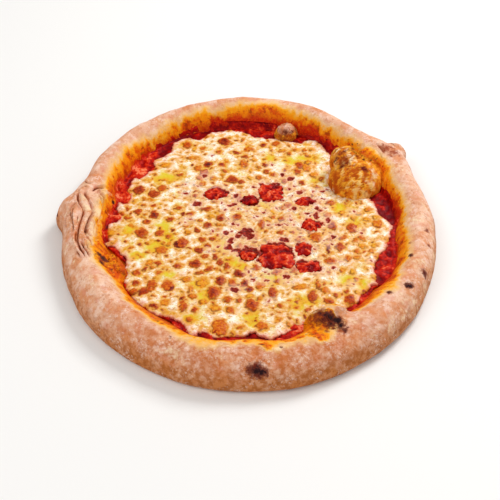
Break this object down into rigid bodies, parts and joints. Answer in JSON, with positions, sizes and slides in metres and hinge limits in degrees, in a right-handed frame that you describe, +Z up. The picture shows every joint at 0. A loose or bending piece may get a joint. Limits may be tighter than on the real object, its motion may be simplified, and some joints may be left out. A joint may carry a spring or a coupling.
{
  "type": "margherita pizza",
  "caption": "Whole uncut margherita pizza: puffed, folded and blistered rim round tomato sauce, melted browned mozzarella and tomato pieces.",
  "frame": {"origin": "on the surface the pizza rests on, under the middle of its bounding box", "axes": "+Z up through the toppings, +Y towards the far side of the rim, +X to the side with the big dough bubble"},
  "size_m": [0.3076, 0.3372, 0.0352],
  "materials": {
    "crust": "baked dough, floury, pale with tan patches and a few burnt blisters",
    "sauce": "wet cooked tomato",
    "cheese": "melted mozzarella, softly shiny, browned in spots",
    "tomato": "wet crushed tomato"
  },
  "bodies": {
    "root": {"crust": "crust", "tomato_sauce": "sauce", "mozzarella": "cheese", "tomato_piece_1": "tomato", "tomato_piece_2": "tomato", "tomato_piece_3": "tomato", "tomato_piece_4": "tomato", "tomato_piece_5": "tomato", "tomato_piece_6": "tomato", "tomato_piece_7": "tomato", "tomato_piece_8": "tomato", "tomato_piece_9": "tomato"}
  },
  "joints": []
}
